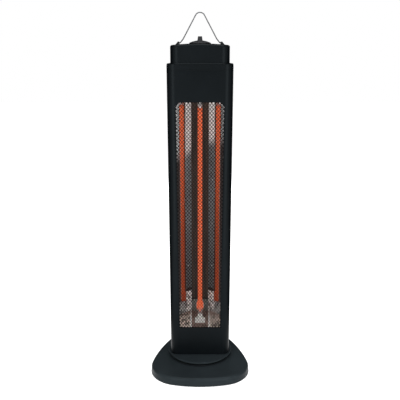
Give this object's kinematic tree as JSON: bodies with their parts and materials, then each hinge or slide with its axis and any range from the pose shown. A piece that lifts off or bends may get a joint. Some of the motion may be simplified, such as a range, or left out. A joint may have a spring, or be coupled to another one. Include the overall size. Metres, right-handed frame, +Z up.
{
  "type": "infrared patio heater tower",
  "caption": "Free-standing swivelling tower heater with a tapered dark housing, mesh-guarded quartz element and folded reflector, top knob and wire bail, on an egg-shaped base.",
  "frame": {"origin": "on the floor at the middle of the base's footprint, directly under the swivel axis", "axes": "+Z up along the swivel axis, the glowing window faces -Y, +X to the right seen from the back"},
  "size_m": [0.2396, 0.2716, 0.8517],
  "materials": {
    "graphite_housing": "satin dark graphite enamel",
    "graphite_moulding": "satin dark graphite moulding",
    "tinted_panel": "steel sheet tinted brown by heat",
    "dark_liner": "thin black stove enamel",
    "spring_clip": "nickel plated spring steel",
    "black_plastic": "fine matt moulded plastic",
    "grey_lug": "satin grey moulded plastic",
    "bail_wire": "drawn steel wire",
    "mesh_wire": "thin dark enamel on expanded metal",
    "polished_reflector": "polished aluminium sheet",
    "quartz": "clear fused quartz",
    "glowing_ribbon": "woven carbon ribbon, glowing orange when on",
    "ceramic": "unglazed white ceramic",
    "zinc_steel": "zinc plated sheet steel",
    "screw_steel": "blackened steel",
    "cast_weight": "rough cast iron",
    "rubber_pad": "soft black rubber",
    "white_bearing": "low friction nylon",
    "wire_sleeve": "woven glass sleeving"
  },
  "bodies": {
    "base": {"base_shell": "graphite_moulding", "base_bottom_plate": "black_plastic", "rubber_feet": "rubber_pad", "base_screws": "screw_steel", "ballast_weight": "cast_weight", "pivot_bush": "white_bearing", "glide_ring": "white_bearing", "slot_plate": "zinc_steel", "tip_switch_housing": "black_plastic", "cord_gland": "black_plastic", "base_terminal_block": "black_plastic", "riser_lead": "wire_sleeve"},
    "tower": {"bail_lugs": "grey_lug", "chassis": "zinc_steel", "cover_screws": "screw_steel", "element_leads": "wire_sleeve", "filament_clamps": "zinc_steel", "front_cover": "graphite_housing", "guard_mesh": "mesh_wire", "heat_shield": "zinc_steel", "heating_filament": "glowing_ribbon", "loom_connector": "black_plastic", "lower_ceramic_end": "ceramic", "lower_end_reflector": "polished_reflector", "lower_tube_bracket": "zinc_steel", "mesh_frame": "mesh_wire", "pivot_spindle": "zinc_steel", "quartz_tube": "quartz", "rear_cover": "graphite_moulding", "rear_panel": "tinted_panel", "reflector_wings": "polished_reflector", "retaining_washer": "zinc_steel", "rotary_switch": "black_plastic", "side_liners": "dark_liner", "spindle_nut": "zinc_steel", "swing_motor": "zinc_steel", "switch_nut": "zinc_steel", "thermal_cutout": "zinc_steel", "top_cap": "graphite_moulding", "top_plate": "zinc_steel", "tower_floor": "graphite_moulding", "tower_loom": "wire_sleeve", "tower_terminal_block": "black_plastic", "trim_band": "graphite_moulding", "tube_clip": "spring_clip", "tube_saddle": "ceramic", "turntable_disc": "graphite_moulding", "upper_ceramic_end": "ceramic", "upper_end_reflector": "polished_reflector", "upper_tube_bracket": "zinc_steel"},
    "crank": {"crank_arm": "zinc_steel", "motor_shaft": "zinc_steel"},
    "knob": {"control_knob": "black_plastic", "switch_shaft": "zinc_steel"},
    "bail": {"bail_handle": "bail_wire"},
    "plunger": {"tip_plunger": "black_plastic"}
  },
  "joints": [
    {"name": "swing", "type": "hinge", "parent": "base", "child": "tower", "pos_m": [0, 0, 0.0233], "axis": [0, 0, 1], "range_deg": [-35, 35]},
    {"name": "crank_turn", "type": "hinge", "parent": "tower", "child": "crank", "pos_m": [-0.035, 0, 0.024], "axis": [0, 0, 1], "range_deg": [-90, 90]},
    {"name": "knob_turn", "type": "hinge", "parent": "tower", "child": "knob", "pos_m": [0, 0, 0.785], "axis": [0, 0, 1], "range_deg": [0, 135]},
    {"name": "bail_fold", "type": "hinge", "parent": "tower", "child": "bail", "pos_m": [0, 0, 0.785], "axis": [1, 0, 0], "range_deg": [-86, 86]},
    {"name": "tip_pin_drop", "type": "slide", "parent": "base", "child": "plunger", "axis": [0, 0, -1], "range_m": [0, 0.004]}
  ],
  "couplings": [
    {"joint": "crank_turn", "follows": "swing", "ratio": -2.5714}
  ]
}
